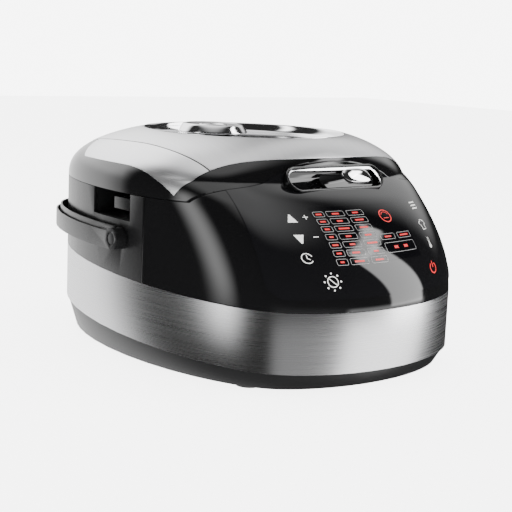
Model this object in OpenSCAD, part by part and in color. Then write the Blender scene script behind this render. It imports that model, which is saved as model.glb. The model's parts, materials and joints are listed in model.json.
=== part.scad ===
// Countertop multicooker: hinged lid with a steam valve, folding carry handle, touch panel.
// Millimetres, +Z up, front towards -Y, resting on Z = 0, centred in X and Y.

/* [Body] */
// Half of the body's width, without the carry handle
half_w = 145; // [141:1:149]
// Thickness of the plastic shells
wall = 3; // [2.5:0.1:3.2]
// Height of the lid seam along the sides
seam_z = 144.6; // [144:0.1:145]
// Height of the brushed steel band
band_h = 50; // [46:1:52]
// Height of the band's lower edge at mid length
band_low = 24; // [23:0.5:25]
// Rise of the band's edges per millimetre towards the rear
band_slope = 0.046; // [0.04:0.002:0.05]

/* [Lid] */
// Height of the rim of the round dish in the lid
rim_z = 194; // [193:0.5:195]
// Radius of the round dish
dish_r = 92.5; // [90:0.5:93]
// Distance of the pot and dish axis behind the middle
pot_y = 17; // [16:0.5:18]
// Thickness of the bright top panels
skin_t = 1.2; // [1:0.1:1.4]
// Distance of the steam valve behind the middle
valve_y = 65; // [60:1:68]
// Radius of the steam valve cap at its widest
cap_r = 33; // [30:1:34]

/* [Pot] */
// Inner radius of the pot
pot_r = 100; // [98:0.5:100.5]
// Thickness of the pot's wall
pot_wall = 2; // [1.5:0.1:2.2]
// Height of the pot's flange
pot_top = 141; // [140.8:0.1:141]

/* [Handle] */
// Height of the carry handle's pivots
bail_z = 106.5; // [105:0.5:108]
// Distance of the carry handle's pivots in front of the middle
bail_y = 4; // [3:0.5:6]
// Gap between the body and the carry handle
bail_gap = 5.5; // [5.4:0.1:6]
// Thickness of the carry handle's grip
bail_t = 5.5; // [5:0.1:6]

/* [Hidden] */

steps = 72;              // corners of every outline
harmonics = [[2, -0.40], [4, 0.80], [5, -0.041], [6, -0.097]];
panel_low = 65;          // where the front starts to lean back
brow_z = 161;            // where the front meets the lid
brow_y = 109;            // how far forward the brow stands
front_bow = 1.85;        // how evenly the front leans back
gap = 0.6;               // gap between neighbouring shells
split_y = -33;           // joint between the front and rear housings
hinge_y = 178.5;
hinge_z = 147;
deck_t = 3;
plate_top = 21;
foot_h = 2.5;
slope = 52.7;            // lean of the release scoop from the horizontal
scoop_y = -109;
scoop_z = 164;
stem_v = -2;             // place of the button's stem along the scoop
latch_y = -107;
latch_z = 144;

function total(v, i = 0) = i < len(v) ? v[i] + total(v, i + 1) : 0;
function bow_x(k, t) = (sin((k - 1) * t) / (k - 1) + sin((k + 1) * t) / (k + 1)) / 2;
function bow_y(k, t) = (cos((k - 1) * t) / (k - 1) - cos((k + 1) * t) / (k + 1)) / 2;
mean_r = half_w * (1 - total([for (h = harmonics) h[1] * bow_x(h[0], 90)]));
function out_x(t, i) = (mean_r - i) * sin(t) + half_w * total([for (h = harmonics) h[1] * bow_x(h[0], t)]);
function out_y(t, i) = -(mean_r - i) * cos(t) + half_w * total([for (h = harmonics) h[1] * bow_y(h[0], t)]);
function outline(i) = [for (n = [0:steps - 1]) [out_x(n * 360 / steps, i), out_y(n * 360 / steps, i)]];
reach = -out_y(0, 0);

// How far the front reaches at height z, as a share of the full reach
function front_share(z) =
    1 - (1 - brow_y / reach) * pow(max(0, min(1, (z - panel_low) / (brow_z - panel_low))), front_bow);
// How much of the outline is left at height z, as the lid closes in on the dish
function closing(z, p, q) = pow(1 - pow(max(0, min(1, (z - seam_z) / (rim_z - seam_z))), p), q);
function close_in(z, y) =
    let (w = max(0, y) / reach) closing(z, 2.5, 0.8) * (1 - w) + closing(z, 2.45, 0.925) * w;
function skin_point(t, z, i) =
    let (
        bx = out_x(t, i),
        fy = out_y(t, i),
        by = fy < 0 ? fy * front_share(z) : fy,
        cx = dish_r * sin(t),
        cy = pot_y - dish_r * cos(t),
        g = close_in(z, fy)
    ) [cx + (bx - cx) * g, cy + (by - cy) * g];

// Closed solid of the cooker's outer shape between the given heights
module form(levels, i = 0, drop = 0) {
    n = steps;
    top = (len(levels) - 1) * n;
    points = [for (z = levels) for (k = [0:n - 1])
        let (p = skin_point(k * 360 / n, z, i)) [p[0], p[1], z - drop]];
    sides = [for (l = [0:len(levels) - 2]) for (k = [0:n - 1])
        let (a = l * n + k, b = l * n + (k + 1) % n) each [[a, a + n, b + n], [a, b + n, b]]];
    polyhedron(points, concat(
        [[for (k = [0:n - 1]) k]],
        sides,
        [[for (k = [n - 1:-1:0]) top + k]]
    ));
}
lid_levels = [140, 150, 156, 162, 168, 173, 178, 183, 187, 190, 192.4, rim_z];
front_levels = [50, 65, 78, 90, 102, 114, 126, 136, 146, 154, 161, 168, 174];

// Plan shape of the lid, g inside its side edges and f inside its front edge
module lid_plan(g = 0, f = undef) {
    inset = is_undef(f) ? g : f;
    intersection() {
        polygon(outline(g));
        union() {
            translate([-150, -29]) square([300, 240]);
            translate([-75, -99 + inset]) square([150, 100]);
            for (s = [-1, 1]) translate([s * 75, -29]) circle(r = 70 - inset, $fn = 96);
        }
    }
}
// Plan shape of the bright panels on top of the lid
module bright_plan() intersection() {
    polygon(outline(6.5));
    translate([-150, -110]) square([300, 238]);
    translate([0, 169.7]) circle(r = 267, $fn = 180);
}
module lens_plan(g = 0) intersection() {
    translate([216, 5]) circle(r = 333 + g, $fn = 180);
    translate([-216, 5]) circle(r = 333 + g, $fn = 180);
}
module outline_ring(i, t) difference() {
    polygon(outline(i));
    polygon(outline(i + t));
}
// Everything above the band's sloped plane whose height at mid length is z
module above(z) translate([0, 0, z]) rotate([atan(band_slope), 0, 0])
    translate([-250, -300, 0]) cube([500, 600, 300]);
module below(z) translate([0, 0, z]) rotate([atan(band_slope), 0, 0])
    translate([-250, -300, -300]) cube([500, 600, 300]);
module at_pot(z) translate([0, pot_y, z]) children();
module ring(r_out, r_in, h) difference() {
    cylinder(r = r_out, h = h, $fn = 120);
    translate([0, 0, -1]) cylinder(r = r_in, h = h + 2, $fn = 120);
}
// Moves the modelled pieces so that the whole cooker, handle included, is centred
module place() translate([0, -(out_y(180, -bail_gap - bail_t) - reach) / 2, 0]) children();
module across(r, length) rotate([0, 90, 0]) cylinder(r = r, h = length, center = true, $fn = 48);
module on_scoop() translate([0, scoop_y, scoop_z]) rotate([slope, 0, 0]) children();

// ---- base ----
module base_form(i, z0, rise = 0) {
    n = steps;
    low = outline(9.5 + i);
    high = outline(1.2 + i);
    polyhedron(
        concat(
            [for (p = low) [p[0], p[1], z0]],
            [for (p = high) [p[0], p[1], band_low + band_slope * p[1] + rise]]
        ),
        concat(
            [[for (k = [0:n - 1]) k]],
            [for (k = [0:n - 1]) let (b = (k + 1) % n) each [[k, k + n, b + n], [k, b + n, b]]],
            [[for (k = [n - 1:-1:0]) n + k]]
        )
    );
}
foot_places = [for (x = [-95, 95]) for (y = [-120, 120]) [x, y]];
screw_places = [for (x = [-60, 60]) for (y = [-150, -108]) [x, y]];
board_z = 30;
module base_pan() color("#161616") difference() {
    union() {
        difference() {
            base_form(0, foot_h);
            base_form(wall, foot_h + wall, 1);
        }
        // posts that carry the power board
        for (p = screw_places) translate([p[0], p[1], foot_h + wall - 1])
            cylinder(r = 4.2, h = board_z - foot_h - wall + 1, $fn = 36);
    }
    for (p = screw_places) translate([p[0], p[1], 0]) {
        cylinder(r = 1.5, h = 18, $fn = 24);
        cylinder(r = 3.4, h = 4.4, $fn = 36);
    }
}
module rubber_feet() color("#202020") for (p = foot_places)
    translate([p[0], p[1], 0]) difference() {
        cylinder(r = 11, h = foot_h, $fn = 48);
        translate([0, 0, -1]) cylinder(r = 4, h = foot_h, $fn = 36);
    }
module base_screws() color("#b8b8b8") for (p = screw_places) translate([p[0], p[1], foot_h + 0.1]) {
    cylinder(r = 1.5, h = 14, $fn = 24);
    cylinder(r = 3.2, h = 1.8, $fn = 36);
}
inlet_x = 40;
inlet_z = 57;
module steel_band() color("#c9c9c9") difference() {
    intersection() {
        linear_extrude(120) outline_ring(0, 1.2);
        above(band_low + 0.3);
        below(band_low + band_h);
    }
    translate([inlet_x - 14.4, 150, inlet_z - 11.4]) cube([28.8, 60, 22.8]);
}

// ---- housing ----
notch_low = 122;
notch_y = [-15, 46];
module notch_cut() for (s = [-1, 1])
    translate([s * 143 - 15, notch_y[0], notch_low]) cube([30, notch_y[1] - notch_y[0], 60]);
module rear_housing() color("#2b2b2d") difference() {
    union() {
        intersection() {
            linear_extrude(seam_z) outline_ring(0, wall);
            above(band_low + band_h + 0.3);
            translate([-250, split_y + 0.15, 0]) cube([500, 400, 300]);
        }
        // brackets that hold the hinge pin
        for (s = [-1, 1]) translate([s * 46 - 4, 0, 0]) difference() {
            union() {
                translate([0, hinge_y, hinge_z]) rotate([0, 90, 0]) cylinder(r = 4.6, h = 8, $fn = 48);
                translate([0, hinge_y - 4.6, 125]) cube([8, 7, hinge_z - 125]);
            }
            translate([-1, hinge_y, hinge_z]) rotate([0, 90, 0]) cylinder(r = 2, h = 10, $fn = 36);
        }
    }
    notch_cut();
    // relief that the lid's rear edge dips into
    difference() {
        translate([0, hinge_y, hinge_z]) across(7.4, 170);
        for (s = [-1, 1]) translate([s * 46 - 4.01, hinge_y - 20, 100]) cube([8.02, 40, 80]);
    }
    for (s = [-1, 1]) translate([s * 140, -bail_y, bail_z]) across(3, 30);
}
module scoop_plan(r) hull() for (s = [-1, 1]) translate([s * 42, 0]) circle(r = r, $fn = 48);
module front_housing() color("#070707") {
    intersection() {
        difference() {
            form(front_levels);
            // hollow behind the front, up to the wall that faces the lid
            difference() {
                form(front_levels, wall, 2);
                translate([0, 0, 134]) linear_extrude(60) difference() {
                    lid_plan(-gap - 1.6);
                    lid_plan(-gap - 0.01);
                }
            }
            translate([0, 0, seam_z]) linear_extrude(80) lid_plan(-gap);
            // room for the release scoop and the button's stem
            on_scoop() translate([0, 0, -9]) linear_extrude(30) scoop_plan(11.5);
            on_scoop() translate([0, stem_v, -14]) cylinder(r = 3.4, h = 14, $fn = 36);
        }
        above(band_low + band_h + 0.3);
        translate([-250, -400 + split_y - 0.15, 0]) cube([500, 400, 300]);
    }
    // lugs that hold the latch pin
    for (s = [-1, 1]) translate([s * 10 - 1.5, latch_y - 3, latch_z - 3]) difference() {
        cube([3, 8, 6]);
        translate([1.5, 3, 3]) across(1.5, 10);
    }
}
module deck_plan() difference() {
    lid_plan(wall + 0.4, 0);
    translate([0, pot_y]) circle(r = 111.5, $fn = 120);
}
module top_deck() color("#1b1b1c") difference() {
    union() {
        translate([0, 0, seam_z - deck_t]) linear_extrude(deck_t - 0.2) deck_plan();
        // trays under the notches that the pot's grips hang in
        for (s = [-1, 1]) translate([s * 127 - 14, notch_y[0] - 2, notch_low - 2.5])
            cube([28, notch_y[1] - notch_y[0] + 4, seam_z - notch_low + 2.3]);
    }
    for (s = [-1, 1]) translate([s * 128 - 17, notch_y[0], notch_low])
        cube([34, notch_y[1] - notch_y[0], 60]);
    translate([0, hinge_y, hinge_z]) across(8.4, 190);
    at_pot(100) cylinder(r = 111.5, h = 80, $fn = 120);
    // kept inside both housings
    difference() {
        translate([-200, -140, 100]) cube([400, 340, 60]);
        intersection() {
            translate([0, 0, 90]) linear_extrude(80) polygon(outline(wall + 0.4));
            form(front_levels, wall + 0.3, 2);
        }
    }
}
module power_inlet() color("#111111") translate([inlet_x, 0, inlet_z]) {
    difference() {
        union() {
            translate([-12, 158, -9]) cube([24, 20, 18]);
            translate([-14, 177.6, -11]) cube([28, 3, 22]);
        }
        translate([-10, 161, -7]) cube([20, 30, 14]);
    }
    // the three blades
    for (x = [-6, 0, 6]) translate([x - 1, 160, -2]) cube([2, 17, 4]);
}

// ---- carry handle ----
bail_low = 97.5;
hub_t = 10.1;
pivot_face = half_w + bail_gap + bail_t / 2 + 2.65;  // outer face of the handle's hubs
module bail_plan(a, b) difference() {
    polygon(outline(-b));
    polygon(outline(-a));
    translate([-250, -400 - bail_y]) square([500, 400]);
}
module carry_handle() color("#2e2e30") difference() {
    union() {
        translate([0, 0, bail_low]) linear_extrude(15) bail_plan(bail_gap, bail_gap + bail_t);
        translate([0, 0, bail_low]) linear_extrude(19.5) bail_plan(bail_gap, bail_gap + 1.6);
        for (s = [-1, 1]) translate([s * (pivot_face - hub_t / 2), -bail_y, bail_z]) across(9.4, hub_t);
    }
    // groove along the top of the grip
    translate([0, 0, bail_low + 9]) linear_extrude(20) difference() {
        bail_plan(bail_gap + 1.6, bail_gap + bail_t - 1.5);
        translate([-250, -20]) square([500, 35]);
    }
    for (s = [-1, 1]) translate([s * 150, -bail_y, bail_z]) {
        across(3, 40);
        translate([s * (pivot_face - 150), 0, 0]) across(5.4, 3.2);
    }
}
module handle_pivots() color("#0c0c0c") for (s = [-1, 1])
    translate([s * pivot_face, -bail_y, bail_z]) {
        translate([-s * 9, 0, 0]) across(2.95, 16);
        translate([-s * 0.9, 0, 0]) across(5, 1.2);
    }

// ---- front: overlay, display and release ----
module overlay_plan() hull() for (s = [-1, 1]) {
    translate([s * 90, 92]) circle(r = 15, $fn = 48);
    translate([s * 104, 190]) circle(r = 1, $fn = 24);
}
module control_overlay() color("#0a0a0b") difference() {
    intersection() {
        difference() {
            form(front_levels, -1);
            form(front_levels, -0.2);
        }
        translate([0, -60, 0]) rotate([90, 0, 0]) linear_extrude(160) intersection() {
            overlay_plan();
            translate([-200, 70]) square([400, 95]);
        }
    }
    translate([0, 0, 40]) linear_extrude(200) lid_plan(-gap - 0.3);
    on_scoop() translate([0, 0, -12]) linear_extrude(40) scoop_plan(12.2);
}
module on_panel(drop) translate([0, -148, 124]) rotate([46.5, 0, 0]) translate([0, 0, -drop]) children();
module display_module() color("#30363a") on_panel(15) translate([-50, -26, 0]) cube([100, 52, 5]);
module touch_board() color("#1d5a35") on_panel(18) translate([-82, -28, 0]) cube([164, 56, 1.6]);
module button_bezel() color("#dcdcdc") on_scoop() translate([0, 0, -0.5]) linear_extrude(2.6) difference() {
    scoop_plan(11.3);
    scoop_plan(9.4);
}
scoop_back = -100.4;
module before(y) translate([-100, -400 + y, 0]) cube([200, 400, 300]);
module button_scoop() color("#0b0b0b") difference() {
    intersection() {
        on_scoop() translate([0, 0, -7.5]) linear_extrude(6.9) scoop_plan(11.2);
        before(scoop_back);
    }
    intersection() {
        on_scoop() translate([0, 0, -6.3]) linear_extrude(30) scoop_plan(9.8);
        before(scoop_back - 1.2);
    }
    on_scoop() translate([0, stem_v, -10]) cylinder(r = 2.6, h = 10, $fn = 36);
}
module release_button() color("#e6e6e6") on_scoop() {
    difference() {
        translate([0, 0, -2.6]) linear_extrude(2.4) hull()
            for (s = [-1, 1]) translate([s * 16, stem_v]) circle(r = 6.2, $fn = 48);
        // shallow dish for the fingertip
        translate([0, stem_v, 10.2]) rotate([0, 90, 0]) cylinder(r = 11, h = 60, center = true, $fn = 72);
    }
    translate([0, stem_v, -7.2]) cylinder(r = 2.2, h = 5, $fn = 36);
}
module button_spring() color("#9a9a9a") on_scoop() translate([0, stem_v, -6.2]) ring(4, 3, 3.4);
module latch_hook() color("#c2c2c2") difference() {
    union() {
        translate([0, latch_y, latch_z]) across(3.6, 12);
        translate([-6, latch_y + 0.5, latch_z]) cube([12, 2, 10.2]);
        translate([-6, latch_y - 1, latch_z - 12]) cube([12, 2, 12]);
    }
    translate([0, latch_y, latch_z]) across(1.56, 20);
}
module latch_pin() color("#9c9c9c") translate([0, latch_y, latch_z]) across(1.5, 23);

// ---- heating ----
module inner_chamber() color("#bdbdbd") difference() {
    at_pot(11) union() {
        ring(106, 105, 126.5);
        ring(105.5, 84, 1);
        translate([0, 0, 126.5]) ring(110.5, 105, 1);
    }
    for (s = [-1, 1]) translate([s * 110 - 12, notch_y[0] - 2, notch_low - 3])
        cube([24, notch_y[1] - notch_y[0] + 4, 60]);
}
module chamber_legs() color("#8f8f8f") for (a = [45:90:315]) at_pot(0)
    rotate([0, 0, a]) translate([95, 0, foot_h + wall]) cylinder(r = 4, h = 11 - foot_h - wall, $fn = 36);
module heating_plate() color("#a8a8a8") at_pot(14) ring(80, 16.5, plate_top - 14);
module heating_element() color("#7a7a7a") at_pot(10.4) rotate_extrude($fn = 120)
    translate([60, 0]) circle(r = 3.5, $fn = 36);
module sensor_cup() color("#d0d0d0") at_pot(0) difference() {
    translate([0, 0, 12.6]) cylinder(r = 14, h = 10.2 - 1.7, $fn = 72);
    translate([0, 0, 12]) cylinder(r = 12.6, h = 8, $fn = 72);
}
module sensor_spring() color("#9a9a9a") at_pot(8.2) ring(9, 8, 11.4);
module sensor_housing() color("#5c5c5c") at_pot(foot_h + wall) union() {
    cylinder(r = 16, h = 2.4, $fn = 72);
    ring(16, 14.6, 6);
}
module side_heater() color("#b59a6a") at_pot(60) ring(107.4, 106.1, 40);
module thermal_fuse() color("#e2ddd0") translate([28, pot_y - 28, 11.55])
    rotate([0, 90, 45]) cylinder(r = 2.4, h = 24, $fn = 36);
module power_board() color("#2c6b3f") translate([-70, -160, board_z]) cube([140, 60, 1.6]);
module board_components() color("#33373c") translate([0, 0, board_z + 1.6]) {
    translate([-60, -150, 0]) cube([32, 36, 26]);
    translate([-18, -148, 0]) cube([18, 15, 15]);
    translate([8, -148, 0]) cube([18, 15, 15]);
    for (x = [38, 52]) translate([x, -140, 0]) cylinder(r = 5.5, h = 20, $fn = 36);
    translate([8, -124, 0]) cube([50, 3, 22]);
}

// ---- pot ----
module inner_pot() color("#3a3a3c") at_pot(0) {
    difference() {
        translate([0, 0, plate_top + 0.3])
            cylinder(r = pot_r + pot_wall, h = pot_top - plate_top - 0.3, $fn = 144);
        translate([0, 0, plate_top + 0.3 + pot_wall]) cylinder(r = pot_r, h = 140, $fn = 144);
    }
    translate([0, 0, pot_top - 2]) ring(110, pot_r + 1, 2);
}
module pot_grips() color("#141414") for (s = [-1, 1]) {
    translate([s * 122 - 15, -3, pot_top - 5.6]) cube([30, 24, 3.6]);
    translate([s * 135 - 2, -3, 128.5]) cube([4, 24, pot_top - 2 - 128.5]);
}

// ---- hinge ----
module hinge_pin() color("#a5a5a5") translate([0, hinge_y, hinge_z]) across(2, 100);
module hinge_springs() color("#8a8a8a") for (s = [-1, 1]) translate([s * 30, hinge_y, hinge_z])
    rotate([0, 90, 0]) translate([0, 0, -8]) ring(3.9, 2.9, 16);
hinge_screw_places = [for (x = [-12, 12]) for (y = [138, 158]) [x, y]];
module hinge_arm() color("#232324") difference() {
    union() {
        translate([0, hinge_y, hinge_z]) across(4.6, 40);
        translate([-20, 130, seam_z + 3.1]) cube([40, hinge_y - 130, 3.3]);
    }
    translate([0, hinge_y, hinge_z]) across(2.05, 60);
    for (p = hinge_screw_places) translate([p[0], p[1], 140]) cylinder(r = 1.5, h = 20, $fn = 24);
}

// ---- lid ----
module lid_prism(g, z0, h) translate([0, 0, z0]) linear_extrude(h) lid_plan(g);
module dish_bore(r) at_pot(160) cylinder(r = r, h = 60, $fn = 120);
module hinge_relief() translate([0, hinge_y, hinge_z]) difference() {
    across(9, 104);
    translate([-20.4, -60, -20]) cube([40.8, 54.5, 60]);
}
module lid_frame() color("#0b0b0c") difference() {
    intersection() {
        form(lid_levels);
        lid_prism(0, seam_z + 0.5, 80);
    }
    intersection() {
        form(concat([130], lid_levels), wall, wall);
        translate([0, 0, 120]) linear_extrude(80) lid_plan(1, wall);
    }
    difference() {
        translate([0, 0, 150]) linear_extrude(60) bright_plan();
        form(lid_levels, 1.5, 1.5);
    }
    dish_bore(dish_r + 0.1);
    hinge_relief();
    // rear edge rounded off about the hinge
    translate([-200, hinge_y, 100]) difference() {
        cube([400, 60, hinge_z + 5.5 - 100]);
        translate([200, 0, hinge_z - 100]) across(5.9, 420);
    }
}
module bright_skin() difference() {
    form([for (z = lid_levels) if (z > 149) z]);
    form(concat([130], lid_levels), skin_t, skin_t);
    dish_bore(dish_r + 0.2);
}
module lid_strip() color("#cfcfd1") intersection() {
    bright_skin();
    translate([0, 0, 150]) linear_extrude(60) intersection() {
        bright_plan();
        lens_plan();
    }
}
module side_insert(s) color("#d8d8da") intersection() {
    bright_skin();
    translate([0, 0, 150]) linear_extrude(60) difference() {
        intersection() {
            bright_plan();
            translate([s > 0 ? 60 : -210, -110]) square([150, 210]);
        }
        lens_plan(0.9);
    }
}
module side_insert_left() side_insert(-1);
module side_insert_right() side_insert(1);
dish_floor = 186;
module lid_dish() color("#dededf") difference() {
    at_pot(0) rotate_extrude($fn = 144) polygon([
        [0, dish_floor - 1.2], [90, dish_floor - 1.2], [dish_r, dish_floor + 3], [dish_r, rim_z],
        [dish_r - 1.2, rim_z], [dish_r - 1.4, dish_floor + 3.6], [dish_r - 3.4, dish_floor], [0, dish_floor]
    ]);
    translate([0, valve_y, 150]) cylinder(r = 13.4, h = 60, $fn = 72);
}
module lid_underside() color("#242425") difference() {
    union() {
        intersection() {
            translate([0, 0, seam_z + 0.9]) linear_extrude(2.2) lid_plan(wall + 0.4);
            form(concat([130], lid_levels), wall + 0.3, wall);
        }
        at_pot(seam_z + 3) ring(60, 57.5, dish_floor - seam_z - 5);
    }
    hinge_relief();
    translate([-200, hinge_y - 6, 100]) cube([400, 60, 60]);
    for (p = hinge_screw_places) translate([p[0], p[1], seam_z]) {
        cylinder(r = 1.5, h = 20, $fn = 24);
        cylinder(r = 2.9, h = 2.1, $fn = 36);
    }
    translate([0, valve_y, 100]) cylinder(r = 11.2, h = 90, $fn = 72);
    at_pot(100) cylinder(r = 6.2, h = 80, $fn = 48);
}
module latch_striker() color("#b0b0b0") difference() {
    translate([-12, -95.4, seam_z + 3.1]) cube([24, 3, 12]);
    translate([-8, -99, seam_z + 6]) cube([16, 10, 6]);
}
module inner_lid() color("#c6c6c8") difference() {
    at_pot(142.4) cylinder(r = 99.8, h = 1.2, $fn = 144);
    translate([0, valve_y, 100]) cylinder(r = 11.2, h = 90, $fn = 72);
    at_pot(100) cylinder(r = 6.2, h = 80, $fn = 48);
}
module lid_gasket() color("#d9d5cb") at_pot(pot_top + 0.4) ring(108, 100, 3.6);
module inner_lid_retainer() color("#3b3b3b") at_pot(0) {
    translate([0, 0, 139.8]) cylinder(r = 11, h = 2.4, $fn = 60);
    translate([0, 0, 142.2]) cylinder(r = 6, h = 8, $fn = 48);
}
module steam_duct() color("#1c1c1c") translate([0, valve_y, 141.5]) ring(11, 8.4, 46.5);
module steam_valve_cap() color("#e8e8e8") translate([0, valve_y, 0]) rotate_extrude($fn = 120) polygon([
    [0, 189.2], [13.6, 189.2], [13.6, 186.4], [24, 186.4], [cap_r, 189], [28.5, 195.8], [26.5, 196.6],
    [23.5, 196.2], [9, 195], [0, 194.8]
]);
module hinge_screws() color("#b8b8b8") for (p = hinge_screw_places)
    translate([p[0], p[1], seam_z + 1]) {
        cylinder(r = 1.5, h = 5.4, $fn = 24);
        cylinder(r = 2.8, h = 1, $fn = 36);
    }

place() base_pan();
place() rubber_feet();
place() base_screws();
place() steel_band();
place() rear_housing();
place() front_housing();
place() top_deck();
place() control_overlay();
place() display_module();
place() touch_board();
place() button_bezel();
place() button_scoop();
place() release_button();
place() button_spring();
place() latch_hook();
place() latch_pin();
place() inner_chamber();
place() chamber_legs();
place() heating_plate();
place() heating_element();
place() sensor_cup();
place() sensor_spring();
place() sensor_housing();
place() side_heater();
place() thermal_fuse();
place() power_board();
place() board_components();
place() power_inlet();
place() carry_handle();
place() handle_pivots();
place() inner_pot();
place() pot_grips();
place() hinge_pin();
place() hinge_springs();
place() lid_frame();
place() lid_strip();
place() side_insert_left();
place() side_insert_right();
place() lid_dish();
place() lid_underside();
place() hinge_arm();
place() latch_striker();
place() inner_lid();
place() lid_gasket();
place() inner_lid_retainer();
place() steam_duct();
place() steam_valve_cap();
place() hinge_screws();
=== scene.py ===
# %% [markdown]
# # A countertop multicooker, piece by piece
# The cooker is a smooth closed shell: a wedge-shaped black base, a brushed steel band, a gloss
# black front with a touch panel, a lid with bright panels, and a handle that folds behind it.
# The engineering model gives every piece its place. This script gives each visible one its
# final surface and finish. Its pieces either come from the same formulas as the engineering
# model, on a much finer grid, or are copies of engineering pieces with their edges rounded.

# %% Load the frame
import json
import math

import bmesh
import bpy
import numpy as np
from mathutils import Matrix, Vector
from mathutils.bvhtree import BVHTree


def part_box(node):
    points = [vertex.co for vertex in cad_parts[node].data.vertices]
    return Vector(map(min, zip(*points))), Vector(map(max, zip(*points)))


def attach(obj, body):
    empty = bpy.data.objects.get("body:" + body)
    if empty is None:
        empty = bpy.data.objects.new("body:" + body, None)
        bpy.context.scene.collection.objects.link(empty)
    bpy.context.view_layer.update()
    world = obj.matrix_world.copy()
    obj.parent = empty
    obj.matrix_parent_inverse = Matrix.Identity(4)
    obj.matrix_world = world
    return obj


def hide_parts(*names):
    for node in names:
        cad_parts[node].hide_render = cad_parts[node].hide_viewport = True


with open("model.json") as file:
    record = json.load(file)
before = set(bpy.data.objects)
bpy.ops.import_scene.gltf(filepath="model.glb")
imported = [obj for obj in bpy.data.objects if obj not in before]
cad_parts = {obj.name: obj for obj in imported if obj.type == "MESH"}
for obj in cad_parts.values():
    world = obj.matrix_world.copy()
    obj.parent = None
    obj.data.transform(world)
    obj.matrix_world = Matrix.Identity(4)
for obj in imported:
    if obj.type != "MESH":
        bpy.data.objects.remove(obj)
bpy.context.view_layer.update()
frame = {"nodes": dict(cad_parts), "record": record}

# %% [markdown]
# ## The shape's formula
# Seen from above, the body is an oval. Its outline is a circle whose radius of curvature is
# changed by a few slow waves, which keeps it perfectly smooth. Going up, the front leans back,
# and the lid closes in from the oval to the round rim of the dish on top. One function,
# skin(), gives the point at angle t and height z, so that every shell is cut from one surface.

# %% Sizes and the outline
HALF_W = 145.0
HARMONICS = ((2, -0.40), (4, 0.80), (5, -0.041), (6, -0.097))
SEAM_Z, RIM_Z, DISH_R, POT_Y = 144.6, 194.0, 92.5, 17.0
PANEL_LOW, BROW_Z, BROW_Y, FRONT_BOW = 65.0, 161.0, 109.0, 1.85
BAND_LOW, BAND_H, BAND_SLOPE = 24.0, 50.0, 0.046
SCOOP_Y, SCOOP_Z, SCOOP_LEAN = -109.0, 164.0, 52.7
SPLIT_Y = -33.0
GAP = 0.6
MM = 0.001


def wave_x(k, t):
    return (np.sin((k - 1) * t) / (k - 1) + np.sin((k + 1) * t) / (k + 1)) / 2


def wave_y(k, t):
    return (np.cos((k - 1) * t) / (k - 1) - np.cos((k + 1) * t) / (k + 1)) / 2


MEAN_R = HALF_W * (1 - sum(c * wave_x(k, math.pi / 2) for k, c in HARMONICS))


def outline(t, inset=0.0):
    x = (MEAN_R - inset) * np.sin(t) + HALF_W * sum(c * wave_x(k, t) for k, c in HARMONICS)
    y = -(MEAN_R - inset) * np.cos(t) + HALF_W * sum(c * wave_y(k, t) for k, c in HARMONICS)
    return x, y


REACH = -outline(0.0)[1]
# the engineering model is centred with its handle, which moves the body a little forward
SHIFT_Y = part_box("steel_band")[1].y / MM - outline(math.pi)[1]
print(f"reach {REACH:.1f} mm, moved by {SHIFT_Y:.2f} mm along Y")


# %% The skin of the cooker
def closing(z, power, bow):
    return (1 - np.clip((z - SEAM_Z) / (RIM_Z - SEAM_Z), 0, 1) ** power) ** bow


def skin(t, z, inset=0.0):
    """Point on the outer surface at angle t (0 is the front) and height z, in millimetres."""
    bx, by = outline(t, inset)
    share = 1 - (1 - BROW_Y / REACH) * np.clip((z - PANEL_LOW) / (BROW_Z - PANEL_LOW), 0, 1) ** FRONT_BOW
    rear = np.maximum(0, by) / REACH
    left = closing(z, 2.5, 0.8) * (1 - rear) + closing(z, 2.45, 0.925) * rear
    by = np.where(by < 0, by * share, by)
    cx, cy = DISH_R * np.sin(t), POT_Y - DISH_R * np.cos(t)
    return np.stack([cx + (bx - cx) * left, cy + (by - cy) * left, z + 0 * bx], -1)


def lid_front(x, grow=0.0):
    """Front edge of the lid's plan shape: straight in the middle, with two large round corners."""
    beyond = np.clip(np.abs(x) - 75, 0, 70 + grow)
    return -29 - np.sqrt((70 + grow) ** 2 - beyond ** 2)


def bisect(inside, low, high, rounds=30):
    """The value between low and high at which inside() turns true, for whole arrays at once."""
    low, high = np.array(low, float), np.array(high, float)
    for _ in range(rounds):
        mid = (low + high) / 2
        hit = inside(mid)
        high = np.where(hit, mid, high)
        low = np.where(hit, low, mid)
    return high


def seam_height(t, grow=0.0, floor=SEAM_Z, inset=0.0):
    """Height at which the surface at angle t crosses the lid's front edge."""
    def inside(z):
        p = skin(t, z, inset)
        return p[..., 1] >= lid_front(p[..., 0], grow)
    start = np.full(np.shape(t), floor)
    return np.where(inside(start), start, bisect(inside, start, start + 45))


def front_at(x, z, inset=0.0):
    """Point on the front at a given x and height."""
    side = np.sign(x) + (x == 0)
    t = bisect(lambda a: skin(a, z, inset)[..., 0] >= np.abs(x), np.zeros(np.shape(x)),
               np.full(np.shape(x), math.pi / 2))
    p = skin(t, z, inset)
    return np.stack([side * p[..., 0], p[..., 1], z + 0 * x], -1)


# %% [markdown]
# ## Turning grids into solid shells
# A grid of points on the skin becomes a real shell: the grid is copied inwards along its
# normals and the two are joined at the rims. A bevel then rounds the rims, because a moulded
# edge catches a fine line of light that a knife edge doesn't. Copies of engineering pieces are
# merged first, since their triangles arrive loose.

# %% Mesh helpers
def place(points):
    """Millimetres of the design to metres of the frame."""
    return (np.asarray(points, float) + [0, SHIFT_Y, 0]) * MM


def new_object(name, points, faces):
    mesh = bpy.data.meshes.new(name)
    mesh.from_pydata([tuple(p) for p in place(points)], [], faces)
    obj = bpy.data.objects.new(name, mesh)
    bpy.context.scene.collection.objects.link(obj)
    return obj


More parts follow.
